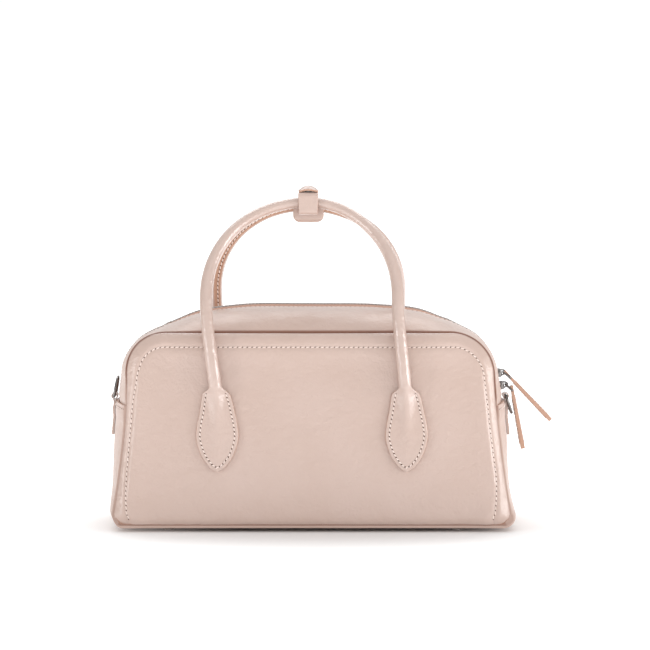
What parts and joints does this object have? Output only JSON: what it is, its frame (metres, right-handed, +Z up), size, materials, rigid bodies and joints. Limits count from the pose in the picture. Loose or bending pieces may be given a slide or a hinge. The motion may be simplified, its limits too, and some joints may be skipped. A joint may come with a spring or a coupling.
{
  "type": "leather satchel",
  "caption": "Zip-top leather satchel with rolled handles, a snapped handle keeper, side D-rings and metal feet, for carrying small things by hand.",
  "frame": {"origin": "under the middle of the whole object, on the surface that the feet stand on", "axes": "+X to the right along the zip, +Y to the back, +Z up; the front panel faces -Y"},
  "size_m": [0.3156, 0.1304, 0.2428],
  "materials": {
    "blush_leather": "smooth fine-grained calf leather with a soft satin sheen",
    "edge_painted_leather": "leather strap with painted tan edges",
    "zip_tape": "woven herringbone tape",
    "nickel_metal": "polished pale nickel plate"
  },
  "bodies": {
    "bag": {"front_panel": "blush_leather", "back_panel": "blush_leather", "front_border": "blush_leather", "back_border": "blush_leather", "lower_gusset": "blush_leather", "top_gusset_front": "blush_leather", "top_gusset_back": "blush_leather", "left_ring_tab": "blush_leather", "right_ring_tab": "blush_leather", "front_handle": "blush_leather", "back_handle": "blush_leather", "keeper_strap": "blush_leather", "keeper_sleeve": "blush_leather", "upper_pull": "edge_painted_leather", "lower_pull": "edge_painted_leather", "zip_teeth": "nickel_metal", "upper_slider": "nickel_metal", "lower_slider": "nickel_metal", "upper_pull_link": "nickel_metal", "lower_pull_link": "nickel_metal", "right_d_ring": "nickel_metal", "keeper_snap": "nickel_metal", "foot_front_left": "nickel_metal", "foot_front_right": "nickel_metal", "foot_back_left": "nickel_metal", "foot_back_right": "nickel_metal", "zip_tape": "zip_tape"},
    "left_ring": {"left_d_ring": "nickel_metal"}
  },
  "joints": [
    {"name": "left_ring_swing", "type": "hinge", "parent": "bag", "child": "left_ring", "pos_m": [-0.15403, 0, 0.092], "axis": [0, -1, 0], "range_deg": [0, 165]}
  ]
}
